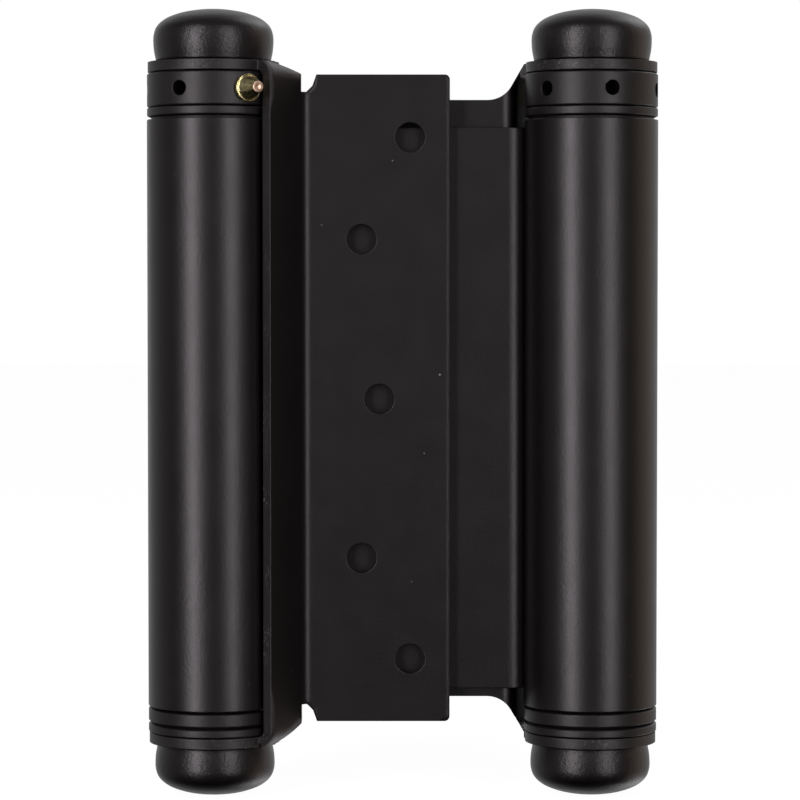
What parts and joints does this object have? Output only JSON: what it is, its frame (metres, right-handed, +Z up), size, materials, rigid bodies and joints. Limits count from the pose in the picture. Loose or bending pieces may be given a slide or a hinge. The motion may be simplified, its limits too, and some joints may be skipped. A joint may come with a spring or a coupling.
{
  "type": "double action cafe hinge",
  "caption": "Double action spring hinge for a swinging cafe door: twin sprung barrels on one sheet between a door bracket and a jamb bracket, with pin-set tension collars.",
  "frame": {"origin": "midway between the jamb leaf's two outer screw holes, on its mounting face", "axes": "+Z up along the barrels, +Y out of the jamb leaf's mounting face, into the jamb"},
  "size_m": [0.1005, 0.0325, 0.1548],
  "materials": {
    "dark_bronze_paint": "satin",
    "gold_plated_steel": "polished",
    "bright_steel": "turned",
    "spring_steel": "drawn"
  },
  "bodies": {
    "jamb_side": {"jamb_bracket": "dark_bronze_paint", "jamb_pintle": "bright_steel", "jamb_top_tip": "dark_bronze_paint", "jamb_bottom_tip": "dark_bronze_paint", "jamb_lower_washer": "dark_bronze_paint"},
    "jamb_collar": {"jamb_tension_collar": "dark_bronze_paint", "jamb_spring_hub": "bright_steel", "jamb_tension_pin": "gold_plated_steel"},
    "middle": {"middle_sheet": "dark_bronze_paint", "door_barrel_bush": "dark_bronze_paint", "door_barrel_plug": "dark_bronze_paint", "door_torsion_spring": "spring_steel", "jamb_barrel_bush": "dark_bronze_paint", "jamb_barrel_plug": "dark_bronze_paint", "jamb_torsion_spring": "spring_steel"},
    "door_side": {"door_bracket": "dark_bronze_paint", "door_pintle": "bright_steel", "door_top_tip": "dark_bronze_paint", "door_bottom_tip": "dark_bronze_paint", "door_lower_washer": "dark_bronze_paint"},
    "door_collar": {"door_tension_collar": "dark_bronze_paint", "door_spring_hub": "bright_steel", "door_tension_pin": "gold_plated_steel"}
  },
  "joints": [
    {"name": "jamb_swing", "type": "hinge", "parent": "jamb_side", "child": "middle", "pos_m": [0.0465, -0.0034, 0], "axis": [0, 0, 1], "range_deg": [0, 110], "stiffness_Nm_per_rad": 0.6, "springref_deg": -40.11, "deforming": ["jamb_torsion_spring"]},
    {"name": "door_swing", "type": "hinge", "parent": "middle", "child": "door_side", "pos_m": [-0.0278, -0.0034, 0], "axis": [0, 0, -1], "range_deg": [0, 110], "stiffness_Nm_per_rad": 0.6, "springref_deg": -40.11, "deforming": ["door_torsion_spring"]},
    {"name": "jamb_tension", "type": "hinge", "parent": "jamb_side", "child": "jamb_collar", "pos_m": [0.0465, -0.0034, 0], "axis": [0, 0, -1], "range_deg": [0, 180], "deforming": ["jamb_torsion_spring"]},
    {"name": "door_tension", "type": "hinge", "parent": "door_side", "child": "door_collar", "pos_m": [-0.0278, -0.0034, 0], "axis": [0, 0, -1], "range_deg": [0, 180], "deforming": ["door_torsion_spring"]}
  ]
}
